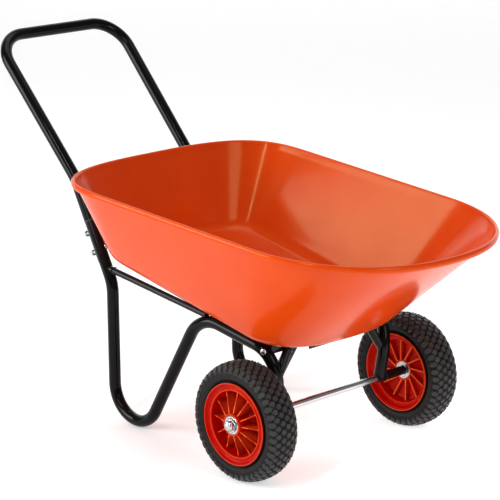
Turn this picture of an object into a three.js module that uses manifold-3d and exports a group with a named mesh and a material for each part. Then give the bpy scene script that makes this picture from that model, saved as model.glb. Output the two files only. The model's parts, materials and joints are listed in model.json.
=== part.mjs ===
import * as THREE from 'three';
import { mergeVertices } from 'three/addons/utils/BufferGeometryUtils.js';
import Module from 'manifold-3d';

// Twin-wheel garden barrow, in millimetres. +X is forward (nose), +Y is the left side, +Z is up.
// Lengths along X are measured from the axle, and the whole barrow is then moved by axleX,
// so that the origin is on the ground under the middle of its bounding box.

const wasm = await Module();
wasm.setup();

const axleX = 281.5; // how far the axle is ahead of the middle of the bounding box
const gap = 0.3; // clearance between pieces that touch
const sides = [['right', -1], ['left', 1]];

// Wheels
const wheelRadius = 130;
const trackHalf = 251; // from the middle of the barrow to the middle of a wheel
const tyreHalfWidth = 38;
const wheelFacets = 28;
const rimRadius = 89.4;
const rimHalfWidth = 37.3;
const hubInnerEnd = -13; // along the axle from the middle of the wheel, outward is positive
const hubOuterEnd = 42;
const bossRadius = 24.5;
const bearingRadius = 20;
const bearingWidth = 10;
const ribCount = 12;

// Axle
const axleRadius = 8;
const axleHalfLength = 303;
const sleeveRadius = 10.5;
const sleeveStart = 149;

// Frame tubes
const tubeRadius = 14;
const tubeWall = 1.6;
const tubeSides = 10;
const frameY = 192.7; // plane of a side frame, from the middle of the barrow
const legX = -493;
const lapDirection = new THREE.Vector3(-0.468, 0, 0.884); // upper frame tube, pointing up and back
const frameTop = [-564, 454];
const footBend = 74.5;
const strutFoot = [legX, -184]; // where leg and strut would meet below the ground
const railStart = [-201.8, 308.6]; // where strut and rail would meet
const railEnd = [-5, 178, 266.3]; // where rail and fork leg would meet
const forkKnee = [11, 165, 200];
const forkEnd = [-1, 163, 133];
const stayRadius = 7.5;

// Handle
const handleY = 183.2;
const handleTop = [-909, 833];
const handleLowY = 175.7; // the arms come closer together where they lap the frame
const handleBend = [-634.5, 538.2];
const handleEnd = [-542.1, 363.7];
const gripBend = 76;
const lapSpan = 22.9; // the handle tube lies this far behind the frame tube

// Tub
const floorHeight = 281.5; // underside of the floor above the ground, over the axle
const floorSlope = -0.205; // the floor falls towards the nose
const rimHeight = 534.9; // top of the rim above the axle
const rimSlope = -0.08;
const sheet = 1.2;
const lipWidth = 9;
const lipDepth = 15;
const sideCorner = 32; // size of the rounding between floor and wall, along the sides
const endCorner = 14; // and at the middle of the rear and of the nose
const rimPlan = { rearX: -380, rearLength: 200, rearPower: 3.1, rearHalf: 321,
  frontX: 60, frontLength: 300, frontPower: 2.2, frontHalf: 312 };
const floorPlan = { rearX: -430, rearLength: 81, rearPower: 3.5, rearHalf: 209,
  frontX: -50, frontLength: 110, frontPower: 2.5, frontHalf: 209 };
const quarterPoints = 8;

// Cross bar under the tub
const barWidth = 26;
const barHeight = 26;
const barX = -12;
const barWall = 2;
const barHalfLength = 174;
const plateHalfLength = 105;
const plateReach = 46;
const plateThick = 3;
const plateLip = 7;

// Fasteners
const boltRadius = 4;
const boltHole = 4.4;
const boltHeadRadius = 7;
const nutRadius = 7.4;
const nutHeight = 6.5;
const tubBoltY = 70;

const floorTilt = Math.atan(-floorSlope);
const floorNormal = new THREE.Vector3(Math.sin(floorTilt), 0, Math.cos(floorTilt));

const barrow = new THREE.Group();
barrow.position.x = axleX;
const wheelbarrow = new THREE.Group();
wheelbarrow.add(barrow);

const finishes = {
  orangePaint: [0xe8592b, 0.35, 0],
  blackPaint: [0x1b1b1b, 0.3, 0],
  zinc: [0xc9ccd0, 0.3, 1],
  tyreRubber: [0x363636, 0.9, 0],
  redPlastic: [0xc90f0a, 0.35, 0],
  blackPlastic: [0x151515, 0.5, 0],
};

function material(finish) {
  const [color, roughness, metalness] = finishes[finish];
  return new THREE.MeshStandardMaterial({ color, roughness, metalness });
}

function addPiece(name, geometry, finish) {
  const piece = new THREE.Mesh(geometry, material(finish));
  piece.name = name;
  barrow.add(piece);
  return piece;
}

// A closed geometry becomes a solid that can be joined or cut
function toSolid(geometry) {
  const bare = geometry.clone();
  bare.deleteAttribute('normal');
  bare.deleteAttribute('uv');
  const merged = mergeVertices(bare, 1e-4);
  const vertProperties = new Float32Array(merged.attributes.position.array);
  const triVerts = new Uint32Array(merged.index.array);
  return new wasm.Manifold(new wasm.Mesh({ numProp: 3, vertProperties, triVerts }));
}

function toGeometry(solid) {
  const mesh = solid.getMesh();
  const geometry = new THREE.BufferGeometry();
  geometry.setAttribute('position', new THREE.BufferAttribute(mesh.vertProperties, 3));
  geometry.setIndex(new THREE.BufferAttribute(mesh.triVerts, 1));
  return geometry.toNonIndexed();
}

function circlePoints(radius, count) {
  return Array.from({ length: count }, (_, i) => {
    const angle = ((i + 0.5) / count) * 2 * Math.PI;
    return new THREE.Vector2(radius * Math.cos(angle), radius * Math.sin(angle));
  });
}

// A path through given stations, one equal step of the parameter to each
class StationPath extends THREE.Curve {
  constructor(stations) {
    super();
    this.stations = stations;
  }

  getPoint(t, target = new THREE.Vector3()) {
    const last = this.stations.length - 1;
    const index = Math.min(Math.floor(t * last + 1e-9), last - 1);
    return target.lerpVectors(this.stations[index], this.stations[index + 1], t * last - index);
  }

  getUtoTmapping(u) {
    return u;
  }
}

// Stations along a bent tube. A corner is [x, y, z, bend radius], and the ends have no radius
function bentStations(corners, degreesPerStep = 21) {
  const points = corners.map(([x, y, z]) => new THREE.Vector3(x, y, z));
  const stations = [points[0]];
  for (let i = 1; i < points.length - 1; i++) {
    const before = points[i].clone().sub(points[i - 1]).normalize();
    const after = points[i + 1].clone().sub(points[i]).normalize();
    const turn = before.angleTo(after);
    const radius = corners[i][3];
    const start = points[i].clone().addScaledVector(before, -radius * Math.tan(turn / 2));
    const axis = before.clone().cross(after).normalize();
    const toCentre = axis.clone().cross(before);
    const centre = start.clone().addScaledVector(toCentre, radius);
    const steps = Math.max(1, Math.round(THREE.MathUtils.radToDeg(turn) / degreesPerStep));
    for (let k = 0; k <= steps; k++) {
      const spoke = toCentre.clone().negate().applyAxisAngle(axis, (turn * k) / steps);
      stations.push(centre.clone().addScaledVector(spoke, radius));
    }
  }
  stations.push(points[points.length - 1]);
  return stations;
}

function tubeGeometry(corners, radius, boreRadius = 0) {
  const section = new THREE.Shape(circlePoints(radius, tubeSides));
  if (boreRadius > 0) {
    section.holes.push(new THREE.Path(circlePoints(boreRadius, tubeSides - 3)));
  }
  const path = new StationPath(bentStations(corners));
  const steps = path.stations.length - 1;
  return new THREE.ExtrudeGeometry(section, { steps, extrudePath: path, bevelEnabled: false });
}

// A cylinder between two points
function rodGeometry(from, to, radius, facets = 10) {
  const along = to.clone().sub(from);
  const rod = new THREE.CylinderGeometry(radius, radius, along.length(), facets);
  rod.applyQuaternion(new THREE.Quaternion().setFromUnitVectors(new THREE.Vector3(0, 1, 0),
    along.clone().normalize()));
  const middle = from.clone().add(to).multiplyScalar(0.5);
  return rod.translate(middle.x, middle.y, middle.z);
}

// A turned piece whose axis runs along a direction from a point
function turnedGeometry(profile, facets, at, direction) {
  const points = profile.map(([r, along]) => new THREE.Vector2(r, along));
  const turned = new THREE.LatheGeometry(points, facets);
  turned.applyQuaternion(new THREE.Quaternion().setFromUnitVectors(new THREE.Vector3(0, 1, 0),
    direction.clone().normalize()));
  return turned.translate(at.x, at.y, at.z);
}

function ringProfile(innerRadius, outerRadius, start, end) {
  return [[innerRadius, start], [outerRadius, start], [outerRadius, end], [innerRadius, end],
    [innerRadius, start]];
}

// Side frame: one bent tube from the lap down to the foot, up the strut, along the rail and down to the axle
function sideFrameCorners(side) {
  const y = side * frameY;
  return [
    [frameTop[0], y, frameTop[1]],
    [legX, y, 320, 90],
    [strutFoot[0], y, strutFoot[1], footBend],
    [railStart[0], y, railStart[1], 82],
    [railEnd[0], side * railEnd[1], railEnd[2], 60],
    [forkKnee[0], side * forkKnee[1], forkKnee[2], 90],
    [forkEnd[0], side * forkEnd[1], forkEnd[2]],
  ];
}

function handleCorners() {
  const arm = (side) => [[handleEnd[0], side * handleLowY, handleEnd[1]],
    [handleBend[0], side * handleLowY, handleBend[1], 150],
    [handleTop[0], side * handleY, handleTop[1], gripBend]];
  return [...arm(-1), ...arm(1).reverse()];
}

// The lap bolts run from the frame tube through the handle tube, at two distances below the frame tube's top
const lapDistances = [20, 66];

function lapPoint(side, distance) {
  const y = side * (frameY + handleLowY) / 2;
  return new THREE.Vector3(frameTop[0], y, frameTop[1]).addScaledVector(lapDirection, -distance);
}

const lapAxis = new THREE.Vector3(-lapDirection.z, 0, lapDirection.x); // square to the tubes, pointing back

// The frame bolt holds the rail's front bend to the cross bar
const frameBoltSpot = new THREE.Vector3(-12.2, 175.2, 266.6);
const frameBoltLean = 0.26;

function frameBoltAxis(side) {
  return new THREE.Vector3(frameBoltLean, side, 0).normalize();
}

function frameBoltPoint(side) {
  return new THREE.Vector3(frameBoltSpot.x, side * frameBoltSpot.y, frameBoltSpot.z);
}

function boltHoleAlong(point, axis, from, to) {
  const start = point.clone().addScaledVector(axis, from);
  const end = point.clone().addScaledVector(axis, to);
  return toSolid(rodGeometry(start, end, boltHole));
}

const frameCutters = sides.map(([, side]) => toSolid(tubeGeometry(sideFrameCorners(side), tubeRadius + gap)));

function makeSideFrames() {
  const sleeve = toSolid(rodGeometry(new THREE.Vector3(0, -320, wheelRadius),
    new THREE.Vector3(0, 320, wheelRadius), sleeveRadius + gap, 16));
  for (const [name, side] of sides) {
    let frame = toSolid(tubeGeometry(sideFrameCorners(side), tubeRadius, tubeRadius - tubeWall));
    frame = frame.subtract(sleeve);
    for (const distance of lapDistances) {
      frame = frame.subtract(boltHoleAlong(lapPoint(side, distance), lapAxis, -30, 60));
    }
    frame = frame.subtract(boltHoleAlong(frameBoltPoint(side), frameBoltAxis(side), -40, 40));
    addPiece(`side_frame_${name}`, toGeometry(frame), 'blackPaint');
  }
}

function makeHandle() {
  let handle = toSolid(tubeGeometry(handleCorners(), tubeRadius, tubeRadius - tubeWall));
  for (const [, side] of sides) {
    for (const distance of lapDistances) {
      handle = handle.subtract(boltHoleAlong(lapPoint(side, distance), lapAxis, -30, 60));
    }
  }
  addPiece('handle_tube', toGeometry(handle), 'blackPaint');
}

function makeStays() {
  sides.forEach(([name, side], index) => {
    const from = new THREE.Vector3(-502, side * frameY, 353.8);
    const to = new THREE.Vector3(-180, side * frameY, 311.5);
    const stay = toSolid(rodGeometry(from, to, stayRadius)).subtract(frameCutters[index]);
    addPiece(`stay_${name}`, toGeometry(stay), 'blackPaint');
  });
}

// Plastic plugs close the four open tube ends
function makePlugs() {
  const plug = [[0, -14], [tubeRadius - tubeWall - 1.4, -14], [tubeRadius - tubeWall - 1.4, gap],
    [tubeRadius - 0.4, gap], [tubeRadius - 2, 2.6], [0, 3]];
  for (const [name, side] of sides) {
    const frameEnd = new THREE.Vector3(frameTop[0], side * frameY, frameTop[1]);
    addPiece(`frame_plug_${name}`, turnedGeometry(plug, 10, frameEnd, lapDirection), 'blackPlastic');
    const lowEnd = new THREE.Vector3(handleEnd[0], side * handleLowY, handleEnd[1]);
    const down = lapDirection.clone().negate();
    addPiece(`handle_plug_${name}`, turnedGeometry(plug, 10, lowEnd, down), 'blackPlastic');
  }
}

function domeBoltProfile(length) {
  return [[0, -length], [boltRadius, -length], [boltRadius, gap], [boltHeadRadius, gap],
    [boltHeadRadius * 0.93, 2.2], [boltHeadRadius * 0.6, 4], [0, 4.8]];
}

function nutProfile() {
  return ringProfile((boltRadius + gap) / Math.cos(Math.PI / 6), nutRadius, 0, nutHeight);
}

// Domed bolts with their heads on the frame tube and nuts behind the handle tube
function makeLapBolts() {
  for (const [name, side] of sides) {
    lapDistances.forEach((distance, index) => {
      const head = lapPoint(side, distance).addScaledVector(lapAxis, -tubeRadius);
      const length = lapSpan + 2 * tubeRadius + nutHeight + 4;
      const bolt = turnedGeometry(domeBoltProfile(length), 8, head, lapAxis.clone().negate());
      addPiece(`lap_bolt_${name}_${index + 1}`, bolt, 'zinc');
      const seat = lapPoint(side, distance).addScaledVector(lapAxis, lapSpan + tubeRadius + gap);
      addPiece(`lap_nut_${name}_${index + 1}`, turnedGeometry(nutProfile(), 6, seat, lapAxis), 'zinc');
    });
  }
}

function makeFrameBolts() {
  for (const [name, side] of sides) {
    const axis = frameBoltAxis(side);
    const head = frameBoltPoint(side).addScaledVector(axis, tubeRadius + 1);
    const bolt = turnedGeometry(domeBoltProfile(38), 8, head, axis);
    addPiece(`frame_bolt_${name}`, bolt, 'zinc');
  }
}

// A point given from the cross bar's middle: across its width, along it and up its height
function onBar(across, along, up) {
  const point = new THREE.Vector3(across, along, up).applyAxisAngle(new THREE.Vector3(0, 1, 0), floorTilt);
  return point.add(barMiddle);
}

const barTopGap = 0.5;
const barMiddle = new THREE.Vector3(barX, 0, floorHeight + floorSlope * barX)
  .addScaledVector(floorNormal, -barTopGap - barHeight / 2);

// A box given in the cross bar's own directions
function barBox(across, along, up) {
  const box = new THREE.BoxGeometry(across[1] - across[0], along[1] - along[0], up[1] - up[0]);
  box.translate((across[0] + across[1]) / 2, (along[0] + along[1]) / 2, (up[0] + up[1]) / 2);
  return box.rotateY(floorTilt).translate(barMiddle.x, barMiddle.y, barMiddle.z);
}

function barBoltHole(across, along) {
  return toSolid(rodGeometry(onBar(across, along, -60), onBar(across, along, 60), boltHole));
}

// The bar's full block, grown by a clearance on its four long faces
function barBlock(clearance) {
  const across = barWidth / 2 + clearance;
  const up = barHeight / 2 + clearance;
  return toSolid(barBox([-across, across], [-barHalfLength, barHalfLength], [-up, up]));
}

// Square cross bar, its ends shaped to the frame tubes
function makeCrossBar() {
  const half = [barWidth / 2 - barWall, barHeight / 2 - barWall];
  let bar = barBlock(0).subtract(toSolid(barBox([-half[0], half[0]], [-200, 200], [-half[1], half[1]])));
  sides.forEach(([, side], index) => {
    bar = bar.subtract(frameCutters[index]);
    bar = bar.subtract(boltHoleAlong(frameBoltPoint(side), frameBoltAxis(side), -40, 40));
    bar = bar.subtract(barBoltHole(0, side * tubBoltY));
  });
  addPiece('cross_bar', toGeometry(bar), 'blackPaint');
}

// Folded plate under the front of the floor, fixed along the bar's front face
const plateFront = barWidth / 2 + gap + plateReach;
const plateBoltAcross = barWidth / 2 + gap + 14;

function makeSupportPlate() {
  const start = barWidth / 2 + gap;
  const top = barHeight / 2;
  const along = [-plateHalfLength, plateHalfLength];
  const tray = toSolid(barBox([start, plateFront], along, [top - plateThick, top]));
  const lip = toSolid(barBox([plateFront - plateThick, plateFront], along, [top - plateLip, top]));
  const heel = toSolid(barBox([start, start + plateThick], along, [top - 18, top]));
  let plate = tray.add(lip).add(heel);
  for (const [, side] of sides) {
    plate = plate.subtract(barBoltHole(plateBoltAcross, side * tubBoltY));
  }
  addPiece('tub_support_plate', toGeometry(plate), 'blackPaint');
}

// Short braces lean out from under the cross bar to the fork legs
function makeBraces() {
  const block = barBlock(gap);
  sides.forEach(([name, side], index) => {
    const from = new THREE.Vector3(-2, side * 119, 268);
    const to = new THREE.Vector3(5, side * 161, 203);
    const brace = toSolid(rodGeometry(from, to, 10)).subtract(frameCutters[index]).subtract(block);
    addPiece(`brace_${name}`, toGeometry(brace), 'blackPaint');
  });
}

function planPoint(plan, share, fromRear, shrink) {
  const length = (fromRear ? plan.rearLength : plan.frontLength) - shrink;
  const half = (fromRear ? plan.rearHalf : plan.frontHalf) - shrink;
  const power = fromRear ? plan.rearPower : plan.frontPower;
  const angle = (share * Math.PI) / 2;
  const x = length * Math.cos(angle) ** (2 / power);
  const y = half * Math.sin(angle) ** (2 / power);
  return fromRear ? [plan.rearX - x, y] : [plan.frontX + x, y];
}

// Closed outline in plan, anticlockwise from above: rounded rear, nearly straight sides and rounded nose
function planOutline(plan, shrink) {
  const half = [];
  for (let i = 0; i <= quarterPoints; i++) {
    half.push(planPoint(plan, i / quarterPoints, true, shrink));
  }
  for (let i = quarterPoints; i >= 0; i--) {
    half.push(planPoint(plan, i / quarterPoints, false, shrink));
  }
  const mirrored = half.slice(1, -1).reverse().map(([x, y]) => [x, -y]);
  return [...half, ...mirrored].reverse();
}

function rimRing(shrink, drop) {
  const top = rimHeight - drop;
  return planOutline(rimPlan, shrink).map(([x, y]) => new THREE.Vector3(x, y, top + rimSlope * x));
}

function floorPoint(x, y, lift) {
  return new THREE.Vector3(x, y, floorHeight + floorSlope * x + lift);
}

// Rings of one skin of the tub, from the floor round the corner and up to the rim
function skinRings(shrink, lift, drop) {
  const middle = floorPoint(-230, 0, lift);
  const rim = rimRing(lipWidth + shrink, drop);
  const edge = planOutline(floorPlan, shrink).map(([x, y]) => floorPoint(x, y, lift));
  const towards = (corner, target) => corner.clone().addScaledVector(target.clone().sub(corner).normalize(),
    endCorner + (sideCorner - endCorner) * (Math.abs(corner.y) / floorPlan.frontHalf) ** 4);
  const onFloor = edge.map((corner) => towards(corner, middle));
  const onWall = edge.map((corner, i) => towards(corner, rim[i]));
  const rounded = edge.map((corner, i) => corner.clone().multiplyScalar(2).add(onFloor[i]).add(onWall[i])
    .multiplyScalar(0.25));
  const between = [0.25, 0.5, 0.75].map((share) => onWall.map((low, i) => low.clone().lerp(rim[i], share)));
  return [edge.map(() => middle), onFloor, rounded, onWall, ...between, rim];
}

// A turned blank gives the closed mesh, and its rings are then moved onto the tub's own outlines.
// The inner skin and the mirrored side split their quads the other way, so the sheet folds alike throughout
function loftGeometry(rings, innerFrom) {
  const count = rings[0].length;
  const last = rings.length - 1;
  const profile = rings.map((_, i) => new THREE.Vector2(i === 0 || i === last ? 0 : 1, i));
  const blank = new THREE.LatheGeometry(profile, count);
  const position = blank.attributes.position;
  for (let k = 0; k < position.count; k++) {
    const target = rings[k % rings.length][Math.floor(k / rings.length) % count];
    position.setXYZ(k, target.x, target.y, target.z);
  }
  for (let i = 0; i < count; i++) {
    const mirrored = (i + 1) % count < count / 2;
    for (let j = 0; j < last; j++) {
      const low = i * rings.length + j;
      const high = low + rings.length;
      if (mirrored !== (j >= innerFrom)) {
        blank.index.set([low, high, high + 1, low, high + 1, low + 1], 6 * (i * last + j));
      }
    }
  }
  return blank;
}

function makeTub() {
  const outer = skinRings(0, 0, sheet);
  const lip = [rimRing(sheet, sheet), rimRing(sheet, lipDepth), rimRing(0, lipDepth), rimRing(0, 2),
    rimRing(2, 0)];
  const inner = skinRings(sheet, sheet, 0).reverse();
  let tub = toSolid(loftGeometry([...outer, ...lip, ...inner], outer.length + lip.length));
  for (const [, side] of sides) {
    for (const across of [0, plateBoltAcross]) {
      tub = tub.subtract(barBoltHole(across, side * tubBoltY));
    }
  }
  addPiece('tub', toGeometry(tub), 'orangePaint');
}

// Low domed bolts hold the floor to the cross bar and to the support plate
function makeTubBolts() {
  const rows = [['bar', 0, barHeight / 2], ['plate', plateBoltAcross, barHeight / 2 - plateThick]];
  const floorTop = barHeight / 2 + barTopGap + sheet;
  for (const [row, across, up] of rows) {
    const under = row === 'bar' ? -up : up;
    for (const [name, side] of sides) {
      const length = floorTop - under + nutHeight + 3;
      const head = onBar(across, side * tubBoltY, floorTop);
      const bolt = turnedGeometry(domeBoltProfile(length), 8, head, floorNormal);
      addPiece(`tub_bolt_${row}_${name}`, bolt, 'zinc');
      const seat = onBar(across, side * tubBoltY, under - gap);
      const nut = turnedGeometry(nutProfile(), 6, seat, floorNormal.clone().negate());
      addPiece(`tub_nut_${row}_${name}`, nut, 'zinc');
    }
  }
}

// Half of a tyre's section as [radius, distance from the wheel's middle]: outside, then inside
const tyreOutside = [[84.7, 32.4], [90.2, 33.9], [93, 36.6], [104, tyreHalfWidth], [117, 35], [126.5, 25],
  [wheelRadius, 8]];
const tyreInside = [[121, 0], [117, 20], [106, 29], [92, 28], [84.7, 25]];

function mirrorProfile(half) {
  return half.map(([radius, along]) => [radius, -along]);
}

function tyreProfile() {
  const outside = [...tyreOutside, ...mirrorProfile(tyreOutside).reverse()];
  const inside = [...mirrorProfile(tyreInside.slice(1)).reverse(), ...tyreInside];
  return [...outside.reverse(), ...inside.reverse(), outside[0]];
}

// Half of the rim barrel's section, then the web and the hub
const wellRadius = 76;
const webHalf = 3;
const seatRadius = bearingRadius + gap;
const hubBore = 11;

function rimProfile() {
  const barrel = [[84, -20], [84, -33], [rimRadius, -34.3], [rimRadius, -rimHalfWidth],
    [85.5, -rimHalfWidth], [80.5, -30], [80.5, -19], [73, -10], [73, -webHalf]];
  const inner = [[bossRadius, -webHalf], [bossRadius, hubInnerEnd], [seatRadius, hubInnerEnd],
    [seatRadius, hubInnerEnd + bearingWidth], [hubBore, hubInnerEnd + bearingWidth]];
  const outer = [[hubBore, hubOuterEnd - bearingWidth], [seatRadius, hubOuterEnd - bearingWidth],
    [seatRadius, hubOuterEnd], [bossRadius, hubOuterEnd], [bossRadius, webHalf]];
  const well = [[wellRadius, 12], [wellRadius, -12], [84, -20]];
  return [...barrel, ...inner, ...outer, ...mirrorProfile(barrel).reverse(), ...well];
}

// A radial rib from the hub to the barrel, standing on the web
function ribSolid(angle, thickness, reach, direction) {
  const outline = new THREE.Shape([[22, 1], [74.5, 1], [74.5, 9], [22, reach]]
    .map(([r, along]) => new THREE.Vector2(r, along * direction)));
  const rib = new THREE.ExtrudeGeometry(outline, { depth: thickness, bevelEnabled: false });
  return toSolid(rib.translate(0, 0, -thickness / 2).rotateY(angle));
}

function wheelRimSolid() {
  const points = rimProfile().reverse().map(([radius, along]) => new THREE.Vector2(radius, along));
  let rim = toSolid(new THREE.LatheGeometry(points, 18));
  for (let i = 0; i < ribCount; i++) {
    const angle = (i / ribCount) * 2 * Math.PI;
    rim = rim.add(ribSolid(angle, 2.4, 34, 1));
    rim = rim.add(ribSolid(angle + Math.PI / ribCount, 4, 11, -1));
  }
  return rim;
}

function makeWheels() {
  const rimGeometry = toGeometry(wheelRimSolid());
  const bearing = ringProfile(axleRadius + gap, bearingRadius, 0, bearingWidth);
  for (const [name, side] of sides) {
    const outward = new THREE.Vector3(0, side, 0);
    const middle = new THREE.Vector3(0, side * trackHalf, wheelRadius);
    const along = (distance) => middle.clone().addScaledVector(outward, distance);
    addPiece(`tyre_${name}`, turnedGeometry(tyreProfile(), wheelFacets, middle, outward), 'tyreRubber');
    const rim = addPiece(`wheel_rim_${name}`, rimGeometry, 'redPlastic');
    rim.position.copy(middle);
    rim.rotation.x = side < 0 ? Math.PI : 0;
    const innerSeat = along(hubInnerEnd - gap);
    addPiece(`bearing_inner_${name}`, turnedGeometry(bearing, 16, innerSeat, outward), 'zinc');
    const outerSeat = along(hubOuterEnd - bearingWidth + gap);
    addPiece(`bearing_outer_${name}`, turnedGeometry(bearing, 16, outerSeat, outward), 'zinc');
  }
}

function makeAxle() {
  const axleEnd = (side, distance) => new THREE.Vector3(0, side * distance, wheelRadius);
  const rod = rodGeometry(axleEnd(-1, axleHalfLength), axleEnd(1, axleHalfLength), axleRadius, 16);
  addPiece('axle_rod', rod, 'zinc');
  const sleeveEnd = trackHalf + hubInnerEnd - 1;
  const washerStart = trackHalf + hubOuterEnd + gap * 2 + 0.2;
  const washer = ringProfile(axleRadius + gap, 15, washerStart, washerStart + 1.6);
  const nutStart = washerStart + 1.6 + gap;
  const rodEnd = axleHalfLength + gap;
  const cap = [[0, rodEnd], [axleRadius + gap, rodEnd], [axleRadius + gap, nutStart], [12, nutStart],
    [12, nutStart + 6], [8, nutStart + 10], [0, nutStart + 11]];
  for (const [name, side] of sides) {
    const centre = new THREE.Vector3(0, 0, wheelRadius);
    const outward = new THREE.Vector3(0, side, 0);
    const sleeve = ringProfile(axleRadius + gap, sleeveRadius, sleeveStart, sleeveEnd);
    addPiece(`axle_sleeve_${name}`, turnedGeometry(sleeve, 16, centre, outward), 'blackPaint');
    addPiece(`axle_washer_${name}`, turnedGeometry(washer, 16, centre, outward), 'zinc');
    addPiece(`axle_cap_${name}`, turnedGeometry(cap, 16, centre, outward), 'zinc');
  }
}

makeTub();
makeHandle();
makeSideFrames();
makeStays();
makeCrossBar();
makeSupportPlate();
makeBraces();
makeWheels();
makeAxle();
makePlugs();
makeLapBolts();
makeFrameBolts();
makeTubBolts();

export default wheelbarrow;
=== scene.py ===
import json
import math

import bmesh
import bpy
from mathutils import Matrix, Vector


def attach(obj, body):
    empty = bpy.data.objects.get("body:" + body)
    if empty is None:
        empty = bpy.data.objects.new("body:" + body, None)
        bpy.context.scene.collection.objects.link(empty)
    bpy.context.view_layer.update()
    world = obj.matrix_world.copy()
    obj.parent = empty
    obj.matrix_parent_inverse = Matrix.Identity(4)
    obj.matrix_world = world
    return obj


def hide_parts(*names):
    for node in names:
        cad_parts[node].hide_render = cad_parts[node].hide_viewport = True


# A two-wheel garden barrow. Settings are in millimetres, measured from the ground under the axle:
# x forward over the nose, y to the left, z up. finishPiece turns them into metres in the frame's place.

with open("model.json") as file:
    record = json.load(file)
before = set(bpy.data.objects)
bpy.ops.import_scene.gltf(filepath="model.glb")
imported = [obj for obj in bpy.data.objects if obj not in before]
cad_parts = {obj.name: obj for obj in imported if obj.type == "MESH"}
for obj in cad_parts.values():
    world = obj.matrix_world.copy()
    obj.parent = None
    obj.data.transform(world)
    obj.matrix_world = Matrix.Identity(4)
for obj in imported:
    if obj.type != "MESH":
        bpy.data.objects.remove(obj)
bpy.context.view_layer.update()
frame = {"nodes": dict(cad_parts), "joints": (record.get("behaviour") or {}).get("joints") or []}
nodes = frame["nodes"]
axlePlace = Vector(frame["joints"][0]["pos_m"])
millimetre = 0.001
sides = (("right", -1), ("left", 1))
print("frame loaded:", len(nodes), "nodes")


def newMaterial(name, color, roughness, **sockets):
    material = bpy.data.materials.new(name)
    material.use_nodes = True
    tree = material.node_tree
    shader = tree.nodes["Principled BSDF"]
    shader.inputs["Base Color"].default_value = (*color, 1)
    shader.inputs["Roughness"].default_value = roughness
    for socket, value in sockets.items():
        shader.inputs[socket.replace("_", " ")].default_value = value
    return material, tree, shader


def addNode(tree, kind, inputs=None, **values):
    node = tree.nodes.new(kind)
    for key, value in values.items():
        setattr(node, key, value)
    for socket, value in (inputs or {}).items():
        node.inputs[socket].default_value = value
    return node


def addNoise(tree, scale, detail=3.0, stretch=(1, 1, 1)):
    place = addNode(tree, "ShaderNodeTexCoord")
    mapping = addNode(tree, "ShaderNodeMapping", {"Scale": stretch})
    noise = addNode(tree, "ShaderNodeTexNoise", {"Scale": scale, "Detail": detail})
    tree.links.new(place.outputs["Object"], mapping.inputs["Vector"])
    tree.links.new(mapping.outputs["Vector"], noise.inputs["Vector"])
    return noise.outputs["Fac"]


def addRange(tree, source, low, high, fromLow=0.3, fromHigh=0.7):
    span = addNode(tree, "ShaderNodeMapRange", {"From Min": fromLow, "From Max": fromHigh,
                                                "To Min": low, "To Max": high})
    tree.links.new(source, span.inputs["Value"])
    return span.outputs["Result"]


def addMix(tree, factor, first, second):
    mix = addNode(tree, "ShaderNodeMix", data_type="RGBA")
    tree.links.new(factor, mix.inputs["Factor"])
    for socket, value in ((mix.inputs[6], first), (mix.inputs[7], second)):
        if isinstance(value, tuple):
            socket.default_value = (*value, 1)
        else:
            tree.links.new(value, socket)
    return mix.outputs[2]


def addBump(tree, shader, height, distance, strength):
    bump = addNode(tree, "ShaderNodeBump", {"Distance": distance, "Strength": strength})
    tree.links.new(height, bump.inputs["Height"])
    tree.links.new(bump.outputs["Normal"], shader.inputs["Normal"])


def addEdgeMask(tree, low=0.52, high=0.62):
    geometry = addNode(tree, "ShaderNodeNewGeometry")
    return addRange(tree, geometry.outputs["Pointiness"], 0.0, 1.0, low, high)


enamel = {"color": (0.68, 0.060, 0.004), "deep": (0.62, 0.050, 0.0035), "worn": (0.80, 0.15, 0.035),
          "roughness": (0.15, 0.21), "mottleScale": 7.0, "peelScale": 420.0, "peelDepth": 0.00005}


def makeEnamel():
    material, tree, shader = newMaterial("orangeEnamel", enamel["color"], 0.18, Coat_Weight=0.05,
                                         Coat_Roughness=0.05, Specular_Tint=(1.0, 1.0, 0.3, 1),
                                         Specular_IOR_Level=0.15)
    mottle = addRange(tree, addNoise(tree, enamel["mottleScale"], 4.0), 0.0, 1.0)
    body = addMix(tree, mottle, enamel["color"], enamel["deep"])
    worn = addMix(tree, addEdgeMask(tree, 0.54, 0.70), body, enamel["worn"])
    tree.links.new(worn, shader.inputs["Base Color"])
    low, high = enamel["roughness"]
    tree.links.new(addRange(tree, addNoise(tree, 22.0), low, high), shader.inputs["Roughness"])
    addBump(tree, shader, addNoise(tree, enamel["peelScale"], 2.0), enamel["peelDepth"], 0.35)
    return material


blackCoat = {"color": (0.0016, 0.0016, 0.0018), "dusty": (0.003, 0.003, 0.003),
             "worn": (0.012, 0.012, 0.013),
             "roughness": (0.07, 0.13), "peelScale": 300.0, "peelDepth": 0.00005}


def makeBlackCoat():
    material, tree, shader = newMaterial("blackPowderCoat", blackCoat["color"], 0.1, Coat_Weight=0.08,
                                         Coat_Roughness=0.04, Specular_IOR_Level=0.09)
    dust = addRange(tree, addNoise(tree, 14.0, 5.0), 0.0, 1.0)
    body = addMix(tree, dust, blackCoat["color"], blackCoat["dusty"])
    tree.links.new(addMix(tree, addEdgeMask(tree), body, blackCoat["worn"]), shader.inputs["Base Color"])
    low, high = blackCoat["roughness"]
    tree.links.new(addRange(tree, addNoise(tree, 40.0), low, high), shader.inputs["Roughness"])
    addBump(tree, shader, addNoise(tree, blackCoat["peelScale"], 2.0), blackCoat["peelDepth"], 0.3)
    return material


zinc = {"color": (0.66, 0.67, 0.68), "dull": (0.46, 0.47, 0.48), "roughness": (0.14, 0.30),
        "spangleScale": 90.0}


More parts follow.
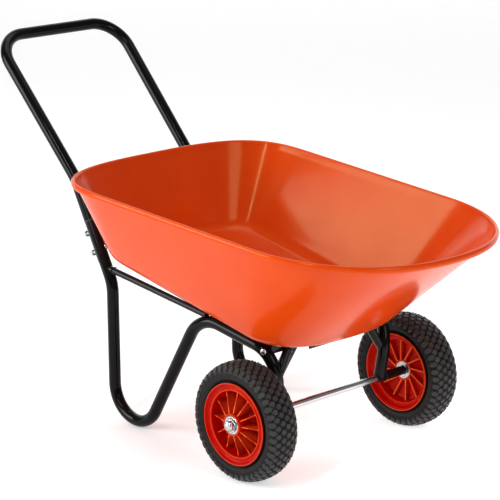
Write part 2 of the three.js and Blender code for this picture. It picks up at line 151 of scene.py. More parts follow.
def makeZinc(name="brightZinc", stretch=(1, 1, 1)):
    material, tree, shader = newMaterial(name, zinc["color"], 0.2, Metallic=1.0)
    spangle = addRange(tree, addNoise(tree, zinc["spangleScale"], 4.0, stretch), 0.0, 1.0)
    tree.links.new(addMix(tree, spangle, zinc["color"], zinc["dull"]), shader.inputs["Base Color"])
    low, high = zinc["roughness"]
    fine = addNoise(tree, 260.0, 4.0, stretch)
    tree.links.new(addRange(tree, fine, low, high), shader.inputs["Roughness"])
    addBump(tree, shader, fine, 0.00006, 0.3)
    return material


rubber = {"color": (0.006, 0.006, 0.0064), "chalky": (0.012, 0.012, 0.0124), "worn": (0.05, 0.05, 0.05),
          "roughness": (0.30, 0.50), "grainScale": 900.0, "grainDepth": 0.0002}


def makeRubber():
    material, tree, shader = newMaterial("tyreRubber", rubber["color"], 0.4, Specular_IOR_Level=0.12)
    chalk = addRange(tree, addNoise(tree, 26.0, 6.0), 0.0, 1.0)
    body = addMix(tree, chalk, rubber["color"], rubber["chalky"])
    tree.links.new(addMix(tree, addEdgeMask(tree, 0.53, 0.66), body, rubber["worn"]),
                   shader.inputs["Base Color"])
    low, high = rubber["roughness"]
    tree.links.new(addRange(tree, addNoise(tree, 60.0, 4.0), low, high), shader.inputs["Roughness"])
    addBump(tree, shader, addNoise(tree, rubber["grainScale"], 3.0), rubber["grainDepth"], 0.4)
    return material


# The edge colour is a painted highlight: pale orange laid on sharp edges in place of the sheen on the
# rim's lips and rib edges
redPlastic = {"color": (0.46, 0.002, 0.0006), "deep": (0.38, 0.001, 0.0004), "edge": (0.92, 0.11, 0.02),
              "roughness": (0.24, 0.36)}


def makeRedPlastic():
    material, tree, shader = newMaterial("redPlastic", redPlastic["color"], 0.3,
                                         Specular_Tint=(1.0, 0.5, 0.22, 1), Specular_IOR_Level=0.12)
    flow = addRange(tree, addNoise(tree, 18.0, 3.0), 0.0, 1.0)
    body = addMix(tree, flow, redPlastic["color"], redPlastic["deep"])
    # Sharp edges are painted pale orange here, a painted highlight rather than a colour of the plastic
    tree.links.new(addMix(tree, addEdgeMask(tree, 0.525, 0.62), body, redPlastic["edge"]),
                   shader.inputs["Base Color"])
    low, high = redPlastic["roughness"]
    tree.links.new(addRange(tree, addNoise(tree, 50.0), low, high), shader.inputs["Roughness"])
    addBump(tree, shader, addNoise(tree, 500.0, 2.0), 0.00008, 0.3)
    return material


def makeBlackPlastic():
    material, tree, shader = newMaterial("blackPlastic", (0.012, 0.012, 0.012), 0.5)
    speckle = addNoise(tree, 320.0, 3.0)
    tree.links.new(addMix(tree, addRange(tree, speckle, 0.0, 1.0), (0.010, 0.010, 0.010),
                          (0.020, 0.020, 0.020)), shader.inputs["Base Color"])
    tree.links.new(addRange(tree, speckle, 0.4, 0.6), shader.inputs["Roughness"])
    addBump(tree, shader, speckle, 0.0001, 0.4)
    return material


materials = {"orange_paint": makeEnamel(), "black_paint": makeBlackCoat(), "zinc_steel": makeZinc(),
             "axle_steel": makeZinc("drawnAxleSteel", (1, 0.04, 1)), "tyre_rubber": makeRubber(),
             "red_plastic": makeRedPlastic(), "black_plastic": makeBlackPlastic()}
print("materials made:", len(materials))


def newVerts(bm, before):
    return [vert for vert in bm.verts if vert not in before]


def vertsOf(geom):
    return [part for part in geom if isinstance(part, bmesh.types.BMVert)]


def edgesWithin(verts):
    chosen = set(verts)
    return list(dict.fromkeys(e for v in verts for e in v.link_edges if e.other_vert(v) in chosen))


# Points given as (radius, height) are spun round the Z axis and then placed along the axis at the point
def addTurned(bm, profile, steps, point=(0, 0, 0), axis=(0, 0, 1), closed=False):
    before = set(bm.verts)
    verts = [bm.verts.new((radius, 0, height)) for radius, height in profile]
    edges = [bm.edges.new(pair) for pair in zip(verts, verts[1:])]
    if closed:
        edges.append(bm.edges.new((verts[-1], verts[0])))
    bmesh.ops.spin(bm, geom=verts + edges, cent=(0, 0, 0), axis=(0, 0, 1), angle=2 * math.pi,
                   steps=steps, use_merge=True)
    made = newVerts(bm, before)
    turn = Vector(axis).to_track_quat("Z", "Y").to_matrix().to_4x4()
    bmesh.ops.transform(bm, matrix=Matrix.Translation(point) @ turn, verts=made)
    return made


def addRing(bm, point, direction, radius, count):
    turn = Vector(direction).to_track_quat("Z", "Y").to_matrix().to_4x4()
    place = Matrix.Translation(point) @ turn
    return bmesh.ops.create_circle(bm, segments=count, radius=radius, matrix=place)["verts"]


def extrudeRing(bm, verts):
    made = bmesh.ops.extrude_edge_only(bm, edges=edgesWithin(verts))
    return vertsOf(made["geom"])


def capRing(bm, verts):
    bmesh.ops.contextual_create(bm, geom=edgesWithin(verts))


# A round tube along corners (x, y, z, bend radius), with straight runs and true arcs
def addBentTube(bm, corners, radius, count=28, degreesPerStep=5):
    points = [Vector(corner[:3]) for corner in corners]
    ring = addRing(bm, points[0], points[1] - points[0], radius, count)
    capRing(bm, ring)
    here = points[0].copy()
    for i in range(1, len(points) - 1):
        arrive = (points[i] - points[i - 1]).normalized()
        leave = (points[i + 1] - points[i]).normalized()
        angle = arrive.angle(leave)
        bend = corners[i][3]
        start = points[i] - arrive * bend * math.tan(angle / 2)
        ring = extrudeRing(bm, ring)
        bmesh.ops.translate(bm, vec=start - here, verts=ring)
        axis = arrive.cross(leave).normalized()
        centre = start + axis.cross(arrive) * bend
        steps = max(2, round(math.degrees(angle) / degreesPerStep))
        for _ in range(steps):
            ring = extrudeRing(bm, ring)
            bmesh.ops.rotate(bm, cent=centre, matrix=Matrix.Rotation(angle / steps, 3, axis), verts=ring)
        here = points[i] + leave * bend * math.tan(angle / 2)
    ring = extrudeRing(bm, ring)
    bmesh.ops.translate(bm, vec=points[-1] - here, verts=ring)
    capRing(bm, ring)


def addWeld(bm, point, direction, radius, bead=2.2):
    turns = [i * math.pi / 4 for i in range(8)]
    profile = [(radius + bead * math.cos(turn), bead * math.sin(turn)) for turn in turns]
    addTurned(bm, profile, 28, point, direction, closed=True)


def finishPiece(bm, name, body, slot, replaced, finish=None, sharp=35, bevel=None):
    bmesh.ops.remove_doubles(bm, verts=bm.verts, dist=0.005)
    bmesh.ops.recalc_face_normals(bm, faces=bm.faces)
    bmesh.ops.scale(bm, vec=(millimetre,) * 3, verts=bm.verts)
    bmesh.ops.translate(bm, vec=(axlePlace.x, 0, 0), verts=bm.verts)
    mesh = bpy.data.meshes.new(name)
    bm.to_mesh(mesh)
    bm.free()
    mesh.shade_smooth()
    mesh.set_sharp_from_angle(angle=math.radians(sharp))
    mesh.materials.append(materials[finish or slot])
    piece = bpy.data.objects.new(name, mesh)
    bpy.context.scene.collection.objects.link(piece)
    if bevel:
        edge = piece.modifiers.new("softEdge", "BEVEL")
        edge.width = bevel * millimetre
        edge.segments = 2
        edge.limit_method = "ANGLE"
    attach(piece, body)
    if replaced:
        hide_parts(*replaced)
    return piece


tub = {"floorHeight": 281.5, "floorSlope": -0.205, "rimHeight": 534.9, "rimSlope": -0.08, "sheet": 1.2,
       "lipWidth": 9.0, "lipDepth": 15.0, "sideCorner": 32.0, "endCorner": 14.0, "quarterPoints": 44,
       "cornerSteps": 7, "wallSteps": 14, "lipSteps": 14, "middle": (-230.0, 0.0)}
rimPlan = {"rearX": -380, "rearLength": 200, "rearPower": 3.1, "rearHalf": 321,
           "frontX": 60, "frontLength": 300, "frontPower": 2.2, "frontHalf": 312}
floorPlan = {"rearX": -430, "rearLength": 81, "rearPower": 3.5, "rearHalf": 209,
             "frontX": -50, "frontLength": 110, "frontPower": 2.5, "frontHalf": 209}


def planPoint(plan, share, end, shrink):
    length = plan[end + "Length"] - shrink
    half = plan[end + "Half"] - shrink
    angle = share * math.pi / 2
    x = length * max(math.cos(angle), 0) ** (2 / plan[end + "Power"])
    y = half * math.sin(angle) ** (2 / plan[end + "Power"])
    return (plan["rearX"] - x, y) if end == "rear" else (plan["frontX"] + x, y)


def planOutline(plan, shrink):
    steps = tub["quarterPoints"]
    half = [planPoint(plan, i / steps, "rear", shrink) for i in range(steps + 1)]
    half += [planPoint(plan, i / steps, "front", shrink) for i in range(steps, -1, -1)]
    return half + [(x, -y) for x, y in half[-2:0:-1]]


def floorSpot(x, y):
    return Vector((x, y, tub["floorHeight"] + tub["floorSlope"] * x))


def rimSpots(shrink, drop):
    return [Vector((x, y, tub["rimHeight"] + tub["rimSlope"] * x - drop))
            for x, y in planOutline(rimPlan, shrink)]


def tubRings():
    edge = [floorSpot(x, y) for x, y in planOutline(floorPlan, 0)]
    middle = floorSpot(*tub["middle"])
    wallTop = rimSpots(tub["lipWidth"], tub["lipDepth"] / 2)
    rings = []
    growth = tub["sideCorner"] - tub["endCorner"]
    size = [tub["endCorner"] + growth * (abs(p.y) / floorPlan["frontHalf"]) ** 4 for p in edge]
    onFloor = [p + (middle - p).normalized() * s for p, s in zip(edge, size)]
    onWall = [p + (q - p).normalized() * s for p, q, s in zip(edge, wallTop, size)]
    for i in range(tub["cornerSteps"] + 1):
        t = i / tub["cornerSteps"]
        rings.append([a * (1 - t) ** 2 + p * 2 * t * (1 - t) + b * t ** 2
                      for a, p, b in zip(onFloor, edge, onWall)])
    for i in range(1, tub["wallSteps"] + 1):
        rings.append([a.lerp(b, i / tub["wallSteps"]) for a, b in zip(onWall, wallTop)])
    for i in range(1, tub["lipSteps"] + 1):  # the rim rolls over and curls under
        angle = math.pi - i / tub["lipSteps"] * math.radians(275)
        half = tub["lipWidth"] / 2
        deep = tub["lipDepth"] / 2
        rings.append(rimSpots(half - half * math.cos(angle), deep - deep * math.sin(angle)))
    return rings


def makeTub():
    bm = bmesh.new()
    last = None
    for spots in tubRings():
        ring = bmesh.ops.create_circle(bm, segments=len(spots), radius=1)["verts"]
        for vert, spot in zip(ring, spots):
            vert.co = spot
        if last is None:
            capRing(bm, ring)
        else:
            bmesh.ops.bridge_loops(bm, edges=edgesWithin(last) + edgesWithin(ring))
        last = ring
    piece = finishPiece(bm, "pressedTub", "frame", "orange_paint", ["tub"], sharp=60)
    shell = piece.modifiers.new("sheet", "SOLIDIFY")
    shell.thickness = tub["sheet"] * millimetre
    shell.offset = -1
    return piece


makeTub()
print("tub made")


tube = {"radius": 13.7, "frameY": 192.7, "legX": -493, "frameTop": (-564, 454), "footBend": 74.5,
        "footZ": -184, "railStart": (-201.8, 308.6), "railEnd": (-5, 178, 266.3),
        "forkKnee": (11, 165, 200), "forkEnd": (-1, 163, 133), "lap": (-0.468, 0, 0.884)}
handle = {"topY": 183.2, "lowY": 175.7, "top": (-909, 833), "bend": (-634.5, 538.2),
          "end": (-542.1, 363.7), "gripBend": 76, "armBend": 150}
stay = {"rear": (-502, 353.8), "front": (-180, 311.5), "radius": 7.4}
brace = {"top": (-2, 119, 268), "foot": (5, 161, 203), "radius": 9.9}


def sideFrameCorners(side):
    y = side * tube["frameY"]
    top, start, end = tube["frameTop"], tube["railStart"], tube["railEnd"]
    knee, foot = tube["forkKnee"], tube["forkEnd"]
    return [(top[0], y, top[1]), (tube["legX"], y, 320, 90),
            (tube["legX"], y, tube["footZ"], tube["footBend"]),
            (start[0], y, start[1], 82), (end[0], side * end[1], end[2], 60),
            (knee[0], side * knee[1], knee[2], 90), (foot[0], side * foot[1], foot[2])]


def makeSideFrame(name, side):
    bm = bmesh.new()
    addBentTube(bm, sideFrameCorners(side), tube["radius"])
    weldSpot = (tube["forkEnd"][0], side * axle["weldY"], axle["height"])
    addWeld(bm, weldSpot, (0, 1, 0), axle["sleeveRadius"] + 0.4, 1.6)
    finishPiece(bm, f"bentSideTube_{name}", "frame", "black_paint", [f"side_frame_{name}"])


def makeHandle():
    bm = bmesh.new()
    low = lambda side: (handle["end"][0], side * handle["lowY"], handle["end"][1])
    mid = lambda side: (handle["bend"][0], side * handle["lowY"], handle["bend"][1], handle["armBend"])
    top = lambda side: (handle["top"][0], side * handle["topY"], handle["top"][1], handle["gripBend"])
    addBentTube(bm, [low(-1), mid(-1), top(-1), top(1), mid(1), low(1)], tube["radius"])
    finishPiece(bm, "loopHandle", "frame", "black_paint", ["handle_tube"])


def makeStay(name, side):
    bm = bmesh.new()
    y = side * tube["frameY"]
    rear, front = (Vector((stay[end][0], y, stay[end][1])) for end in ("rear", "front"))
    along = (front - rear).normalized()
    addBentTube(bm, [(*(rear + along * 2), 0), (*front, 0)], stay["radius"], 20)
    addWeld(bm, rear + along * 15, along, stay["radius"], 1.8)
    finishPiece(bm, f"legStay_{name}", "frame", "black_paint", [f"stay_{name}"])


def makeBrace(name, side):
    bm = bmesh.new()
    top, foot = (Vector((x, side * y, z)) for x, y, z in (brace["top"], brace["foot"]))
    along = (foot - top).normalized()
    addBentTube(bm, [(*top, 0), (*foot, 0)], brace["radius"], 24)
    addWeld(bm, top + along * 12, along, brace["radius"], 1.6)
    finishPiece(bm, f"forkBrace_{name}", "frame", "black_paint", [f"brace_{name}"])


axle = {"radius": 8.0, "halfLength": 303.0, "sleeveRadius": 10.5, "sleeveStart": 149.0, "height": 130.0,
        "track": 251.0, "hubInner": -13.0, "hubOuter": 42.0, "capRadius": 12.0, "capDome": 7.0,
        "washerRadius": 15.0, "washerThick": 1.6, "weldY": 176.5}

makeHandle()
for sideName, sideSign in sides:
    makeSideFrame(sideName, sideSign)
    makeStay(sideName, sideSign)
    makeBrace(sideName, sideSign)
print("frame tubes and handle made")


bar = {"width": 26, "height": 26, "halfLength": 172, "x": -12, "clearance": 0.5, "corner": 3.0,
       "plateHalf": 105, "plateReach": 46, "plateThick": 3, "plateLip": 7, "heel": 18}
floorTilt = math.atan(-tub["floorSlope"])
barTurn = Matrix.Rotation(floorTilt, 4, "Y")
floorNormal = barTurn.to_3x3() @ Vector((0, 0, 1))
barMiddle = floorSpot(bar["x"], 0) - floorNormal * (bar["clearance"] + bar["height"] / 2)
barPlace = Matrix.Translation(barMiddle) @ barTurn


def makeCrossBar():
    bm = bmesh.new()
    bmesh.ops.create_cube(bm, size=1)
    bmesh.ops.scale(bm, vec=(bar["width"], 2 * bar["halfLength"], bar["height"]), verts=bm.verts)
    long = [e for e in bm.edges if abs(e.verts[0].co.y - e.verts[1].co.y) > 1]
    bmesh.ops.bevel(bm, geom=long, offset=bar["corner"], segments=4, profile=0.5, affect="EDGES",
                    material=-1)
    bmesh.ops.transform(bm, matrix=barPlace, verts=bm.verts)
    finishPiece(bm, "squareCrossBar", "frame", "black_paint", ["cross_bar"], bevel=0.3)


def makeSupportPlate():
    bm = bmesh.new()
    start = bar["width"] / 2 + 0.3
    end = start + bar["plateReach"]
    top = bar["height"] / 2
    thick, half = bar["plateThick"], bar["plateHalf"]
    lip, heel = top - bar["plateLip"], top - bar["heel"]
    outline = [(start, top), (end, top), (end, lip), (end - thick, lip), (end - thick, top - thick),
               (start + thick, top - thick), (start + thick, heel), (start, heel)]
    section = [bm.verts.new((x, -half, z)) for x, z in outline]
    face = bm.faces.new(section)
    grown = bmesh.ops.extrude_face_region(bm, geom=[face])["geom"]
    bmesh.ops.translate(bm, vec=(0, 2 * half, 0), verts=vertsOf(grown))
    bmesh.ops.transform(bm, matrix=barPlace, verts=bm.verts)
    finishPiece(bm, "foldedSupportPlate", "frame", "black_paint", ["tub_support_plate"], bevel=0.6)


makeCrossBar()
makeSupportPlate()
print("cross bar and plate made")


tyre = {"bodyRadius": 125.6, "middleRadius": 105.0, "halfWidth": 37.8, "power": 2.3,
        "beadRadius": 85.0, "rings": (93.0, 96.0), "ringRise": 0.9, "ringWidth": 1.1, "beadDegrees": 128,
        "shoulderStep": 12, "steps": 96, "sectionSteps": 26, "blocks": 44, "blockRise": 4.4,
        "blockSize": 7.5, "blockTaper": 0.8, "sunk": 1.2,
        "rows": ((0.0, 1.0, 1.0), (16.9, 1.0, 1.0), (37.5, 1.0, 1.0), (60.0, 1.0, 1.35))}


# A place on the tyre's rounded section, as (distance from the axle, distance from the wheel's middle)
def sectionSpot(degrees, rise=0.0):
    angle = math.radians(degrees)
    share = lambda value: math.copysign(abs(value) ** (2 / tyre["power"]), value)
    radial = tyre["bodyRadius"] - tyre["middleRadius"] + rise
    return (tyre["middleRadius"] + radial * share(math.cos(angle)),
            (tyre["halfWidth"] - 2.4 + rise) * share(math.sin(angle)))


def tyreProfile():
    half = []
    for i in range(1, tyre["sectionSteps"] + 1):
        radius, along = sectionSpot(tyre["beadDegrees"] * i / tyre["sectionSteps"])
        swell = sum(tyre["ringRise"] * math.exp(-((radius - ring) / tyre["ringWidth"]) ** 2)
                    for ring in tyre["rings"])
        half.append((max(radius, tyre["beadRadius"]), along + (swell if i > tyre["shoulderStep"] else 0)))
    inner = [(tyre["beadRadius"] - 0.6, 28.0), (tyre["beadRadius"] - 0.6, 0.0)]
    full = half + inner
    mirrored = [(radius, -along) for radius, along in reversed(full[:-1])]
    return [(tyre["bodyRadius"], 0.0)] + full + mirrored


# A six-sided tread block, set on the section at these degrees and then turned round the axle
def addBlock(bm, degrees, turn, wide, tall):
    radius, along = sectionSpot(degrees)
    ahead = Vector(sectionSpot(degrees + 1)) - Vector(sectionSpot(degrees - 1))
    base = bmesh.ops.create_circle(bm, segments=6, radius=tyre["blockSize"], cap_ends=True)["verts"]
    top = vertsOf(bmesh.ops.extrude_face_region(bm, geom=list(base[0].link_faces))["geom"])
    bmesh.ops.translate(bm, vec=(0, 0, tyre["blockRise"] + tyre["sunk"]), verts=top)
    bmesh.ops.scale(bm, vec=(tyre["blockTaper"], tyre["blockTaper"], 1), verts=top)
    made = base + top
    bmesh.ops.scale(bm, vec=(wide, tall, 1), verts=made)
    across = Vector((0, ahead[1], ahead[0])).normalized()
    forward = Vector((1, 0, 0))
    outward = forward.cross(across)
    place = Matrix((forward, across, outward)).transposed().to_4x4()
    place.translation = Vector((0, along, radius)) - outward * tyre["sunk"]
    bmesh.ops.transform(bm, matrix=Matrix.Rotation(turn, 4, "Y") @ place, verts=made)


def makeTyre(name, side):
    bm = bmesh.new()
    addTurned(bm, tyreProfile(), tyre["steps"], axis=(0, 1, 0), closed=True)
    step = 2 * math.pi / tyre["blocks"]
    for row, (degrees, wide, tall) in enumerate(tyre["rows"]):
        for sign in ((1,) if row == 0 else (1, -1)):
            for i in range(tyre["blocks"]):
                addBlock(bm, sign * degrees, (i + 0.5 * (row % 2)) * step, wide, tall)
    placeWheel(bm, side)
    finishPiece(bm, f"blockTyre_{name}", f"wheel_{name}", "tyre_rubber", [f"tyre_{name}"], sharp=28)


def placeWheel(bm, side):
    bmesh.ops.scale(bm, vec=(1, side, 1), verts=bm.verts)
    bmesh.ops.translate(bm, vec=(0, side * axle["track"], axle["height"]), verts=bm.verts)


rim = {"steps": 96, "ribs": 12, "ribThick": 2.2, "vaneThick": 3.4, "vaneSweep": 0.42,
       "highlightEdgeWidth": 0.7, "broadFace": 40}
# Both faces of the rim's section as (distance from the axle, distance from the wheel's middle)
rimOuterFace = [(84, 20), (84, 33), (86.5, 34.4), (88.6, 34.6), (89.3, 35.3), (89.3, 36.4),
                (88.5, 37.2), (87.2, 37.2), (86.2, 36.5), (84.2, 33.2), (81.4, 30.8), (77.6, 30.2),
                (76.2, 30.9), (75.2, 32.2), (73.6, 32.6), (72.2, 32.0), (71.6, 30.4), (70.9, 20),
                (69.8, 10.5), (66.5, 6.0), (60, 3.6), (34, 4.6), (27.5, 7.5), (25.2, 12), (24.5, 22),
                (24.4, 39.8), (23.6, 41.6), (22.2, 42), (20.9, 41.6), (20.4, 40.6), (20.3, 31.7),
                (11, 31.7)]
rimInnerFace = [(11, -3.3), (20.3, -3.3), (20.4, -11.8), (21.2, -12.8), (23.2, -12.9), (24.3, -12),
                (24.6, -8), (26.5, -4), (31, -2.6), (62, -2.6), (68.5, -4.6), (71.2, -10), (72.2, -22),
                (73.4, -24), (75.6, -24.6), (77.6, -24), (80.6, -25.6), (84.2, -31), (86.2, -36.3),
                (87.4, -37.2), (88.8, -37), (89.3, -36), (89.2, -35), (86.5, -34.4), (84, -33),
                (84, -20), (79, -12), (79, 12)]


# A narrow border on each broad face, so that only the true edges take the pale painted highlight colour
def insetFaces(bm, before):
    faces = dict.fromkeys(f for v in newVerts(bm, before) for f in v.link_faces)
    broad = [f for f in faces if f.calc_area() > rim["broadFace"]]
    bmesh.ops.inset_individual(bm, faces=broad, thickness=rim["highlightEdgeWidth"], use_even_offset=True)


def addRib(bm, angle):
    outline = [(23.5, 4), (72, 3), (72, 22), (60, 24), (40, 31), (23.5, 36)]
    before = set(bm.verts)
    face = bm.faces.new([bm.verts.new((0, along, radius)) for radius, along in outline])
    grown = bmesh.ops.extrude_face_region(bm, geom=[face])["geom"]
    bmesh.ops.translate(bm, vec=(rim["ribThick"], 0, 0), verts=vertsOf(grown))
    insetFaces(bm, before)
    made = newVerts(bm, before)
    bmesh.ops.translate(bm, vec=(-rim["ribThick"] / 2, 0, 0), verts=made)
    bmesh.ops.rotate(bm, cent=(0, 0, 0), matrix=Matrix.Rotation(angle, 3, "Y"), verts=made)


def addVane(bm, angle):
    before = set(bm.verts)
    edge = [bm.verts.new((0, 0, 23.5)), bm.verts.new((0, -11.5, 23.5))]
    bm.edges.new(edge)
    steps = 8
    for i in range(1, steps + 1):
        edge = extrudeRing(bm, edge)
        bmesh.ops.translate(bm, vec=(0, 0, 48.5 / steps), verts=edge)
        turn = rim["vaneSweep"] / steps * (1 - i / (steps + 4))
        bmesh.ops.rotate(bm, cent=(0, 0, 0), matrix=Matrix.Rotation(turn, 3, "Y"), verts=edge)
    made = newVerts(bm, before)
    faces = list(dict.fromkeys(f for v in made for f in v.link_faces))
    bmesh.ops.solidify(bm, geom=faces, thickness=rim["vaneThick"])
    insetFaces(bm, before)
    made = newVerts(bm, before)
    bmesh.ops.rotate(bm, cent=(0, 0, 0), matrix=Matrix.Rotation(angle, 3, "Y"), verts=made)


def makeRim(name, side):
    bm = bmesh.new()
    addTurned(bm, rimOuterFace + rimInnerFace, rim["steps"], axis=(0, 1, 0), closed=True)
    for i in range(rim["ribs"]):
        addRib(bm, i / rim["ribs"] * 2 * math.pi)
        addVane(bm, (i + 0.5) / rim["ribs"] * 2 * math.pi)
    placeWheel(bm, side)
    finishPiece(bm, f"ribbedRim_{name}", f"wheel_{name}", "red_plastic", [f"wheel_rim_{name}"], sharp=40)


bearing = {"bore": 8.3, "radius": 20.0, "width": 10.0}


def makeBearing(name, side, spot, start, facing):
    bm = bmesh.new()
    bore, radius, width = bearing["bore"], bearing["radius"], bearing["width"]
    profile = [(bore, 0), (bore, width - 0.5), (bore + 0.5, width), (bore + 3, width),
               (bore + 3.4, width - 1), (radius - 4.4, width - 1), (radius - 4, width),
               (radius - 0.6, width), (radius, width - 0.6), (radius, 0)]
    addTurned(bm, profile, 48, (0, start, 0), (0, facing, 0), closed=True)
    placeWheel(bm, side)
    finishPiece(bm, f"ballBearing_{spot}_{name}", f"wheel_{name}", "zinc_steel",
                [f"bearing_{spot}_{name}"])


for sideName, sideSign in sides:
    makeTyre(sideName, sideSign)
    makeRim(sideName, sideSign)
    makeBearing(sideName, sideSign, "outer", axle["hubOuter"] - 10.3, 1)
    makeBearing(sideName, sideSign, "inner", axle["hubInner"] + 10.3, -1)
print("wheels made")


def makeAxle():
    bm = bmesh.new()
    end, radius = axle["halfLength"], axle["radius"]
    profile = [(0, -end), (radius - 0.8, -end), (radius, -end + 0.8), (radius, end - 0.8),
               (radius - 0.8, end), (0, end)]
    addTurned(bm, profile, 40, (0, 0, axle["height"]), (0, 1, 0))
    finishPiece(bm, "solidAxle", "frame", "zinc_steel", ["axle_rod"], "axle_steel")


def makeAxleFittings(name, side):
    centre, outward = (0, 0, axle["height"]), (0, side, 0)
    bore, sleeve = axle["radius"] + 0.3, axle["sleeveRadius"]
    start, end = axle["sleeveStart"], axle["track"] + axle["hubInner"] - 1
    bm = bmesh.new()
    addTurned(bm, [(bore, start), (sleeve - 0.6, start), (sleeve, start + 0.6), (sleeve, end - 0.6),
                   (sleeve - 0.6, end), (bore, end)], 40, centre, outward, closed=True)
    finishPiece(bm, f"axleSleeve_{name}", "frame", "black_paint", [f"axle_sleeve_{name}"])
    bm = bmesh.new()
    washer = axle["track"] + axle["hubOuter"] + 0.8
    wide, face = axle["washerRadius"], washer + axle["washerThick"]
    addTurned(bm, [(bore, washer), (wide - 0.4, washer), (wide, washer + 0.5), (wide - 0.4, face),
                   (bore, face)], 40, centre, outward, closed=True)
    finishPiece(bm, f"axleWasher_{name}", "frame", "zinc_steel", [f"axle_washer_{name}"])
    bm = bmesh.new()
    cap, radius = washer + 1.9, axle["capRadius"]
    turns = [i * math.pi / 16 for i in range(1, 8)]
    dome = [(radius * math.cos(turn), cap + 4 + axle["capDome"] * math.sin(turn)) for turn in turns]
    skirt = [(0, cap + 1.2), (radius - 1, cap), (radius, cap + 0.8), (radius, cap + 4)]
    addTurned(bm, skirt + dome + [(0, cap + 4 + axle["capDome"])], 40, centre, outward)
    finishPiece(bm, f"axleCap_{name}", "frame", "zinc_steel", [f"axle_cap_{name}"])


makeAxle()
for sideName, sideSign in sides:
    makeAxleFittings(sideName, sideSign)
print("axle made")


bolt = {"radius": 4.0, "headRadius": 7.0, "nutRadius": 7.4, "nutHeight": 6.5, "across": 70.0,
        "lapSpan": 22.9, "lapDistances": (20, 66), "headSeat": 14.0, "frameSeat": 15.0, "gap": 0.3,
        "spare": 3.0, "frameSpot": (-12.2, 175.2, 266.6), "frameLean": 0.26, "frameLength": 38.0}
lapUp = Vector(tube["lap"])
lapBack = Vector((-lapUp.z, 0, lapUp.x))


# A domed bolt head on the point, with its shank running back
def addBolt(bm, point, outward, length):
    head, shank = bolt["headRadius"], bolt["radius"]
    dome = [(head * math.cos(a), 1.0 + 3.7 * math.sin(a)) for a in [i * math.pi / 14 for i in range(7)]]
    profile = [(0, -length), (shank - 0.7, -length), (shank, -length + 0.8), (shank, 0.3), (head, 0.3)]
    addTurned(bm, profile + dome + [(0, 4.7)], 28, point, outward)


def addNut(bm, point, outward):
    turn = Vector(outward).to_track_quat("Z", "Y").to_matrix().to_4x4()
    before = set(bm.verts)
    bmesh.ops.create_circle(bm, segments=6, radius=bolt["nutRadius"], cap_ends=True)
    made = newVerts(bm, before)
    grown = bmesh.ops.extrude_face_region(bm, geom=list(made[0].link_faces))["geom"]
    bmesh.ops.translate(bm, vec=(0, 0, bolt["nutHeight"]), verts=vertsOf(grown))
    made = newVerts(bm, before)
    corners = [e for e in edgesWithin(made) if abs(e.verts[0].co.z - e.verts[1].co.z) < 0.1]
    bmesh.ops.bevel(bm, geom=corners, offset=0.7, segments=2, profile=0.5, affect="EDGES", material=-1)
    made = newVerts(bm, before)
    bmesh.ops.transform(bm, matrix=Matrix.Translation(point) @ turn, verts=made)


def makeBolt(name, node, point, outward, length):
    bm = bmesh.new()
    addBolt(bm, point, outward, length)
    finishPiece(bm, name, "frame", "zinc_steel", [node])


def makeNut(name, node, point, outward):
    bm = bmesh.new()
    addNut(bm, point, outward)
    finishPiece(bm, name, "frame", "zinc_steel", [node])


def makeLapFasteners(name, side):
    y = side * (tube["frameY"] + handle["lowY"]) / 2
    top = Vector((tube["frameTop"][0], y, tube["frameTop"][1]))
    for number, distance in enumerate(bolt["lapDistances"], 1):
        spot = top - lapUp * distance
        length = bolt["lapSpan"] + 2 * bolt["headSeat"] + bolt["nutHeight"] + bolt["spare"] + 1
        head = spot - lapBack * bolt["headSeat"]
        seat = spot + lapBack * (bolt["lapSpan"] + bolt["headSeat"] + bolt["gap"])
        makeBolt(f"lapBolt_{name}_{number}", f"lap_bolt_{name}_{number}", head, -lapBack, length)
        makeNut(f"lapNut_{name}_{number}", f"lap_nut_{name}_{number}", seat, lapBack)


def makeFrameBolt(name, side):
    axis = Vector((bolt["frameLean"], side, 0)).normalized()
    spot = Vector((bolt["frameSpot"][0], side * bolt["frameSpot"][1], bolt["frameSpot"][2]))
    bm = bmesh.new()
    addBolt(bm, spot + axis * bolt["frameSeat"], axis, bolt["frameLength"])
    finishPiece(bm, f"frameBolt_{name}", "frame", "zinc_steel", [f"frame_bolt_{name}"])


def makeTubFasteners(name, side):
    top = bar["height"] / 2
    rows = (("bar", 0.0, -top), ("plate", bar["width"] / 2 + 14.3, top - bar["plateThick"]))
    floorTop = top + bar["clearance"] + tub["sheet"]
    for row, across, under in rows:
        head = barPlace @ Vector((across, side * bolt["across"], floorTop))
        seat = barPlace @ Vector((across, side * bolt["across"], under - bolt["gap"]))
        length = floorTop - under + bolt["nutHeight"] + bolt["spare"]
        makeBolt(f"tubBolt_{row}_{name}", f"tub_bolt_{row}_{name}", head, floorNormal, length)
        makeNut(f"tubNut_{row}_{name}", f"tub_nut_{row}_{name}", seat, -floorNormal)


def makePlugs(name, side):
    profile = [(0, -14), (10.6, -14), (11, 0.3), (13.6, 0.3), (13.4, 1.4), (12, 2.6), (0, 3)]
    ends = (("frame", tube["frameTop"], tube["frameY"], lapUp),
            ("handle", handle["end"], handle["lowY"], -lapUp))
    for spot, end, y, outward in ends:
        bm = bmesh.new()
        addTurned(bm, profile, 28, (end[0], side * y, end[1]), outward)
        finishPiece(bm, f"{spot}Plug_{name}", "frame", "black_plastic", [f"{spot}_plug_{name}"])


for sideName, sideSign in sides:
    makeLapFasteners(sideName, sideSign)
    makeFrameBolt(sideName, sideSign)
    makeTubFasteners(sideName, sideSign)
    makePlugs(sideName, sideSign)
print("fasteners and plugs made")


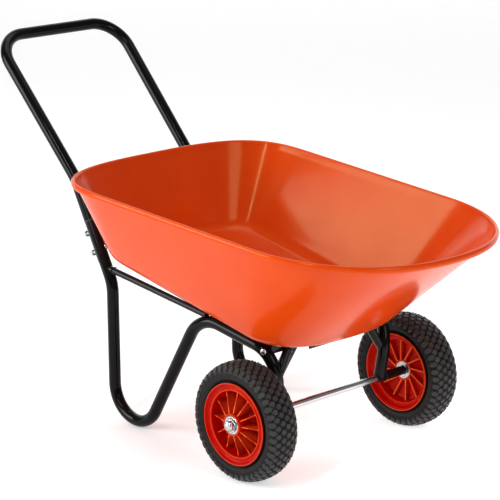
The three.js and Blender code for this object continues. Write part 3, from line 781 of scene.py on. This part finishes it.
# The floor glows most behind the barrow. The stage and its lights are in metres and watts.
stageLook = {"floorSize": 40.0, "floorColor": (0.86, 0.86, 0.86), "worldStrength": 0.26,
             "glow": (1.6, 0.34), "glowPlace": (-1.3, -0.45, 0.0), "glowReach": (0.2, 1.45),
             "backdropSize": 14.0, "backdropPlace": (-7.5, 7.0, 0.0), "backdropGlow": 1.3}
lights = (  # name, place, aim, size, power
    ("sideSoftbox", (-2.2, -3.5, 1.5), (-0.1, 0.0, 0.45), (2.2, 2.2), 130),
    ("frontSoftbox", (4.4, -0.4, 2.2), (0.3, 0.0, 0.40), (1.5, 2.0), 42),
    ("topSoftbox", (-0.4, 0.5, 4.0), (0.0, 0.0, 0.3), (3.0, 2.2), 46),
    ("edgeStrip", (1.1, -3.4, 2.9), (0.0, 0.0, 0.4), (0.16, 2.6), 46),
)


def aimed(place, aim):
    return (Vector(aim) - Vector(place)).to_track_quat("-Z", "Y").to_euler()


def addScreen(name, size, place=(0, 0, 0), facing=(0, 0, 1)):
    bm = bmesh.new()
    bmesh.ops.create_grid(bm, x_segments=2, y_segments=2, size=size)
    mesh = bpy.data.meshes.new(name)
    bm.to_mesh(mesh)
    bm.free()
    color = stageLook["floorColor"]
    material, tree, shader = newMaterial(name, color, 0.9, Specular_IOR_Level=0.1,
                                         Emission_Color=(*color, 1),
                                         Emission_Strength=stageLook["backdropGlow"])
    mesh.materials.append(material)
    screen = bpy.data.objects.new(name, mesh)
    screen.location = place
    screen.rotation_euler = Vector(facing).to_track_quat("Z", "Y").to_euler()
    bpy.context.scene.collection.objects.link(screen)
    return tree, shader


def makeStage():
    tree, shader = addScreen("paleFloor", stageLook["floorSize"])
    spot = addNode(tree, "ShaderNodeTexCoord")
    apart = addNode(tree, "ShaderNodeVectorMath", {1: stageLook["glowPlace"]}, operation="DISTANCE")
    tree.links.new(spot.outputs["Object"], apart.inputs[0])
    glow = addRange(tree, apart.outputs["Value"], *stageLook["glow"], *stageLook["glowReach"])
    tree.links.new(glow, shader.inputs["Emission Strength"])
    addScreen("paleBackdrop", stageLook["backdropSize"], stageLook["backdropPlace"], (1, -1, 0))
    world = bpy.data.worlds.new("studio")
    world.use_nodes = True
    world.node_tree.nodes["Background"].inputs["Strength"].default_value = stageLook["worldStrength"]
    world.node_tree.nodes["Background"].inputs["Color"].default_value = (1, 1, 1, 1)
    bpy.context.scene.world = world
    for name, place, aim, size, power in lights:
        lamp = bpy.data.lights.new(name, "AREA")
        lamp.shape = "RECTANGLE"
        lamp.size, lamp.size_y = size
        lamp.energy = power
        holder = bpy.data.objects.new(name, lamp)
        holder.location = place
        holder.rotation_euler = aimed(place, aim)
        bpy.context.scene.collection.objects.link(holder)


view = {"azimuth": 46.2997, "elevation": 14.7255, "roll": -0.4537, "distance": 4.7979,
        "target": (-0.24512, 0.0, 0.40856), "lens": 155.22, "sensor": 36.0}


def makeCamera():
    around, tilt, roll = (math.radians(view[key]) for key in ("azimuth", "elevation", "roll"))
    right = Vector((math.cos(around), math.sin(around), 0))
    back = Vector((math.sin(around) * math.cos(tilt), -math.cos(around) * math.cos(tilt), math.sin(tilt)))
    up = back.cross(right)
    turn = Matrix((right * math.cos(roll) + up * math.sin(roll),
                   up * math.cos(roll) - right * math.sin(roll), back))
    camera = bpy.data.cameras.new("studioCamera")
    camera.lens = view["lens"]
    camera.sensor_width = view["sensor"]
    holder = bpy.data.objects.new("studioCamera", camera)
    target = Vector(view["target"]) + Vector((axlePlace.x, 0, 0))
    place = Matrix.Translation(target + back * view["distance"])
    holder.matrix_world = place @ turn.transposed().to_4x4()
    bpy.context.scene.collection.objects.link(holder)
    bpy.context.scene.camera = holder
    bpy.context.scene.view_settings.view_transform = "Standard"


makeStage()
makeCamera()
print("stage and camera set")
